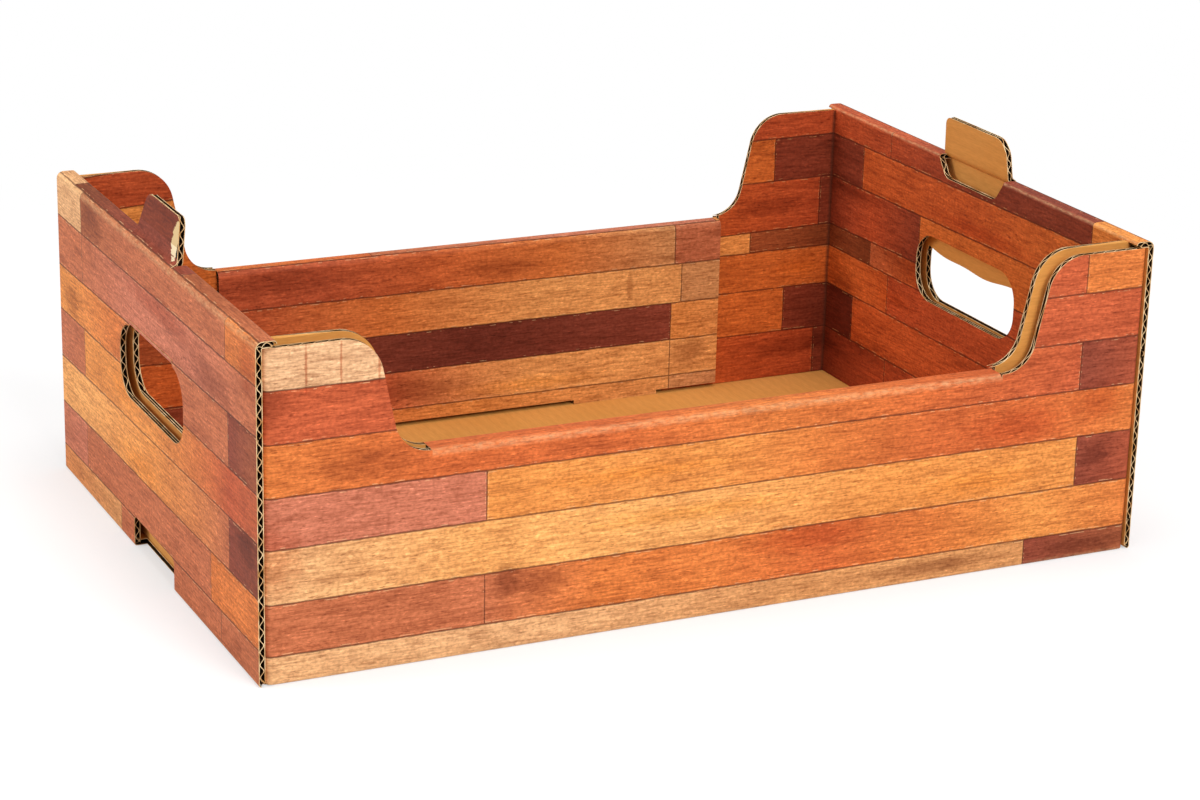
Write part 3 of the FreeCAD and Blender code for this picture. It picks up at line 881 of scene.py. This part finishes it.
def printedLiner(name, layout, flutesAlongV):
    # flexo print on a kraft liner: a wood-plank pattern in soft inks, rubbed pale where the folds wear, with
    # painted shade on the inner panels and in their corner folds
    material, tree = newMaterial(name)
    uv = addNode(tree, "ShaderNodeUVMap", uv_map="blank").outputs[0]
    split = addNode(tree, "ShaderNodeSeparateXYZ", {0: uv}).outputs
    wobble = addNode(tree, "ShaderNodeTexNoise", {"Vector": uv, "Scale": 60.0, "Detail": 3.0}).outputs["Fac"]
    shift = maths(tree, "MULTIPLY", maths(tree, "SUBTRACT", wobble, 0.5), ink["wobble"])
    along = maths(tree, "ADD", split[0], shift)
    up = maths(tree, "ADD", split[1], shift)
    out = maths(tree, "ABSOLUTE", along)
    joint, chip = toLinear(tones["joint"]), toLinear(tones["chip"])
    colour, index, nearest = planks(tree, along, up, layout)

    factors = {}
    for part, (shiftSeed, length, width, detail, strength, *stops) in figure.items():
        seed = maths(tree, "MULTIPLY_ADD", index, ink["rowSeed"], shiftSeed)
        factors[part] = streaks(tree, along, up, seed, length, width, detail)
        colour = shaded(tree, colour, factors[part], strength, *stops)
    mottle = addNode(tree, "ShaderNodeTexNoise", {"Vector": uv, "Scale": 420.0, "Detail": 3.0}).outputs["Fac"]
    colour = shaded(tree, colour, mottle, 0.8, *mottleStops)
    colour = stained(tree, colour, along, up, layout["stains"])

    # dark joints with pale chips beside them
    chips = streaks(tree, along, up, 3.0, 7.0, 2.0, 3.0)
    dark = maths(tree, "LESS_THAN", nearest, maths(tree, "MULTIPLY", chips, ink["joint"]))
    colour = mixed(tree, maths(tree, "MULTIPLY", dark, ink["jointStrength"]), colour, joint)
    beside = maths(tree, "ABSOLUTE", maths(tree, "SUBTRACT", nearest, ink["chipAt"]))
    beside = maths(tree, "LESS_THAN", beside, ink["chipHalf"])
    beside = maths(tree, "MULTIPLY", beside, maths(tree, "GREATER_THAN", chips, 0.56))
    colour = mixed(tree, maths(tree, "MULTIPLY", beside, ink["chipStrength"]), colour, chip)

    # ink rubbed off along the folds
    rubbed = streaks(tree, along, up, 5.0, 5.0, 2.0, 5.0)
    rubbed = maths(tree, "SUBTRACT", maths(tree, "MULTIPLY", rubbed, 2.4), 0.75)
    for crease, reach, low, high in layout["worn"]:
        close = band(tree, up, crease * mm, reach * mm)
        close = maths(tree, "MULTIPLY", close, maths(tree, "GREATER_THAN", out, low * mm))
        close = maths(tree, "MULTIPLY", close, maths(tree, "LESS_THAN", out, high * mm))
        worn = maths(tree, "MULTIPLY", close, rubbed, clamp=True)
        colour = mixed(tree, maths(tree, "MULTIPLY", worn, ink["wornStrength"]), colour, chip)

    # painted shade: the inner panels' print multiplied by a shade tint, and a dark line in the fold to their
    # side flaps
    innerFrom, innerReach, paintedShadeTint = layout["inside"]
    inner = maths(tree, "MULTIPLY", maths(tree, "GREATER_THAN", up, innerFrom * mm),
                  maths(tree, "LESS_THAN", out, innerReach * mm))
    paintedShadeColour = mixed(tree, 1.0, colour, (*paintedShadeTint, 1), "MULTIPLY")
    colour = mixed(tree, inner, colour, paintedShadeColour)
    # painted shade: a dark line in the joints' tone along the fold from an inner panel to its side flap
    if layout["corner"]:
        fold = maths(tree, "MULTIPLY", band(tree, out, layout["corner"] * mm, ink["cornerShadeHalf"]), inner)
        colour = mixed(tree, maths(tree, "MULTIPLY", fold, ink["cornerShadeStrength"]), colour, joint)

    wave = fluteWave(tree, split[0] if flutesAlongV else split[1])
    grain = factors["grain"]
    relief = maths(tree, "ADD", maths(tree, "MULTIPLY", wave, 0.05), maths(tree, "MULTIPLY", grain, 0.10))
    rough = addNode(tree, "ShaderNodeMapRange", {"Value": grain, "To Min": 0.5, "To Max": 0.7}).outputs[0]
    finishMaterial(tree, colour, rough, relief, 0.001, 0.6, 0.14)
    return material


def kraftLiner(name, tone, deep, alongV):
    # unprinted kraft paper: warm golden brown, matte, with faint lines where the flutes show through, as bump
    # and as painted shade
    material, tree = newMaterial(name)
    uv = addNode(tree, "ShaderNodeUVMap", uv_map="blank").outputs[0]
    split = addNode(tree, "ShaderNodeSeparateXYZ", {0: uv}).outputs
    along, across = (split[1], split[0]) if alongV else (split[0], split[1])
    fibre = streaks(tree, along, across, 2.0, 9.0, 1.2, 4.0)
    cloudy = addNode(tree, "ShaderNodeTexNoise", {"Vector": uv, "Scale": 14.0, "Detail": 4.0}).outputs["Fac"]
    colour = mixed(tree, cloudy, toLinear(deep), toLinear(tone))
    colour = shaded(tree, colour, fibre, 0.8, (0.3, 0.88, 0.85, 0.8), (0.7, 1.07, 1.08, 1.09))
    wave = fluteWave(tree, across)
    # painted shade: the colour a little darker in the flute wave's troughs and lighter on its ridges
    colour = shaded(tree, colour, maths(tree, "MULTIPLY_ADD", wave, 0.5, 0.5), 1.0,
                    (0.0, 0.97, 0.965, 0.96), (1.0, 1.02, 1.02, 1.02))
    relief = maths(tree, "ADD", maths(tree, "MULTIPLY", wave, 0.03), maths(tree, "MULTIPLY", fibre, 0.05))
    finishMaterial(tree, colour, 0.72, relief, 0.001, 0.6, 0.2)
    return material


def fibrePaper(name, tone, deep):
    # rough and uneven paper fibres: the cut edges' pale ones, and near black ones as the painted shade
    # between the liners
    material, tree = newMaterial(name)
    place = addNode(tree, "ShaderNodeTexCoord").outputs["Object"]
    fuzz, patch = [addNode(tree, "ShaderNodeTexNoise", {"Vector": place, "Scale": scale,
                                                        "Detail": detail}).outputs["Fac"]
                   for scale, detail in ((900.0, 3.0), (120.0, 2.0))]
    patch = ramp(tree, patch, [(0.35, (0, 0, 0, 1)), (0.65, (1, 1, 1, 1))])
    colour = mixed(tree, patch, toLinear(deep), toLinear(tone))
    finishMaterial(tree, colour, 0.85, fuzz, 0.0004, 0.7, 0.15)
    return material


print("materials")
kraftEnds = kraftLiner("kraftLinerEnds", "#E2A256", "#D08C40", False)
kraftLongs = kraftLiner("kraftLinerLongs", "#DEA055", "#CC8A40", True)
cutEdge = fibrePaper("cutPaperEdge", "#F2D2A2", "#C08C54")
paintedShadeFluting = fibrePaper("flutingInPaintedShade", "#4A3016", "#2A1A0C")     # paper between the liners, painted near black as shade
skins = {name: printedLiner("printedLiner" + name.title(), layout, name in ("front", "back"))
         for name, layout in prints.items()}

print("board")
endBacks, longBacks = [kraftEnds, cutEdge, paintedShadeFluting], [kraftLongs, cutEdge, paintedShadeFluting]
makePiece("leftEndWall", endWallSheets(-1), [skins["left"], *endBacks])
makePiece("rightEndWall", endWallSheets(1), [skins["right"], *endBacks])
makePiece("frontWall", longWallSheets(-1, tray["frontDepth"]), [skins["front"], *longBacks])
makePiece("backWall", longWallSheets(1, tray["backDepth"]), [skins["back"], *longBacks])
makePiece("floorPanel", floorSheets(), [skins["front"], *longBacks])

# White studio: a pale floor that goes on to the horizon, one big soft lamp and two weaker ones, each as
# name, place, width and power in watts; glowFrom is the least share of plain white that the camera sees
studio = {
    "floorReach": 14.0, "floorDrop": 0.0002, "floorTone": 0.78, "fadeStart": 0.45, "fadeEnd": 0.95,
    "glowFrom": 0.5, "worldStrength": 0.46, "aim": (0, 0, 0.1),
    "lamps": [("keyLamp", (0.2, -2.6, 1.9), 1.6, 57.0), ("fillLamp", (-3.2, 0.9, 1.7), 1.6, 52.0),
              ("topLamp", (0.0, -0.2, 2.8), 1.4, 26.0)],
}


def floorPlane():
    # a matte sheet that turns into plain white away from the tray, for the camera alone
    reach, tone = studio["floorReach"], studio["floorTone"]
    mesh = bpy.data.meshes.new("studioFloor")
    corners = [(-reach, -reach, 0), (reach, -reach, 0), (reach, reach, 0), (-reach, reach, 0)]
    mesh.from_pydata(corners, [], [(0, 1, 2, 3)])
    plane = bpy.data.objects.new("studioFloor", mesh)
    plane.location.z = -studio["floorDrop"]
    bpy.context.collection.objects.link(plane)
    material, tree = newMaterial("whitePaperSweep")
    place = addNode(tree, "ShaderNodeTexCoord").outputs["Object"]
    away = addNode(tree, "ShaderNodeVectorMath", {0: place}, operation="LENGTH").outputs["Value"]
    fade = addNode(tree, "ShaderNodeMapRange", {"Value": away, "From Min": studio["fadeStart"],
                                                "From Max": studio["fadeEnd"]},
                   interpolation_type="SMOOTHSTEP").outputs[0]
    camera = addNode(tree, "ShaderNodeLightPath").outputs["Is Camera Ray"]
    paper = mixed(tree, camera, (tone, tone, tone, 1), (1.0, 1.0, 1.0, 1))
    matte = addNode(tree, "ShaderNodeBsdfDiffuse", {"Color": paper}).outputs[0]
    glow = addNode(tree, "ShaderNodeEmission", {"Color": (1, 1, 1, 1), "Strength": 1.0}).outputs[0]
    share = addNode(tree, "ShaderNodeMapRange", {"Value": fade, "To Min": studio["glowFrom"]}).outputs[0]
    share = maths(tree, "MULTIPLY", share, camera)
    blend = addNode(tree, "ShaderNodeMixShader", {0: share, 1: matte, 2: glow}).outputs[0]
    addNode(tree, "ShaderNodeOutputMaterial", {"Surface": blend})
    mesh.materials.append(material)


def studioWorld():
    # even light all round, seen by the camera as plain white
    world = bpy.data.worlds.new("studioWorld")
    bpy.context.scene.world = world
    world.use_nodes = True
    tree = world.node_tree
    tree.nodes.clear()
    camera = addNode(tree, "ShaderNodeLightPath").outputs["Is Camera Ray"]
    strength = addNode(tree, "ShaderNodeMapRange", {"Value": camera,
                                                    "To Min": studio["worldStrength"]}).outputs[0]
    light = addNode(tree, "ShaderNodeBackground", {"Color": (1, 1, 1, 1), "Strength": strength}).outputs[0]
    addNode(tree, "ShaderNodeOutputWorld", {"Surface": light})


def studioLamps():
    for name, spot, size, power in studio["lamps"]:
        lamp = bpy.data.lights.new(name, "AREA")
        lamp.shape, lamp.size, lamp.energy = "DISK", size, power
        holder = bpy.data.objects.new(name, lamp)
        holder.location = spot
        aim = Vector(studio["aim"]) - Vector(spot)
        holder.rotation_euler = aim.to_track_quat("-Z", "Y").to_euler()
        bpy.context.collection.objects.link(holder)


# Camera of the photograph, worked out from the tray's corners in the 1200 x 800 picture: degrees,
# millimetres, and the focal length in that picture's pixels
shot = {
    "azimuth": -25.6, "elevation": 18.7, "roll": 1.47, "distance": 2069.14, "target": (9.02, 0.0, 74.35),
    "focalPixels": 3114.26, "imageWidth": 1200, "sensor": 36.0, "clipEnd": 60.0,
}


def placeCamera():
    # the camera sits on a sphere about its target and looks in, turned by the roll
    az, el, roll = [math.radians(shot[k]) for k in ("azimuth", "elevation", "roll")]
    back = Vector((math.sin(az) * math.cos(el), -math.cos(az) * math.cos(el), math.sin(el)))
    right = Vector((math.cos(az), math.sin(az), 0))
    up = back.cross(right)
    rolledRight = right * math.cos(roll) + up * math.sin(roll)
    rolledUp = up * math.cos(roll) - right * math.sin(roll)
    data = bpy.data.cameras.new("camera")
    data.sensor_width = shot["sensor"]
    data.lens = shot["focalPixels"] * shot["sensor"] / shot["imageWidth"]
    data.clip_end = shot["clipEnd"]
    camera = bpy.data.objects.new("camera", data)
    turn = Matrix((rolledRight, rolledUp, back)).transposed().to_4x4()
    spot = (Vector(shot["target"]) + back * shot["distance"]) * mm
    camera.matrix_world = Matrix.Translation(spot) @ turn
    bpy.context.collection.objects.link(camera)
    bpy.context.scene.camera = camera


print("studio")
floorPlane()
studioWorld()
studioLamps()
placeCamera()
bpy.context.scene.view_settings.view_transform = "Standard"
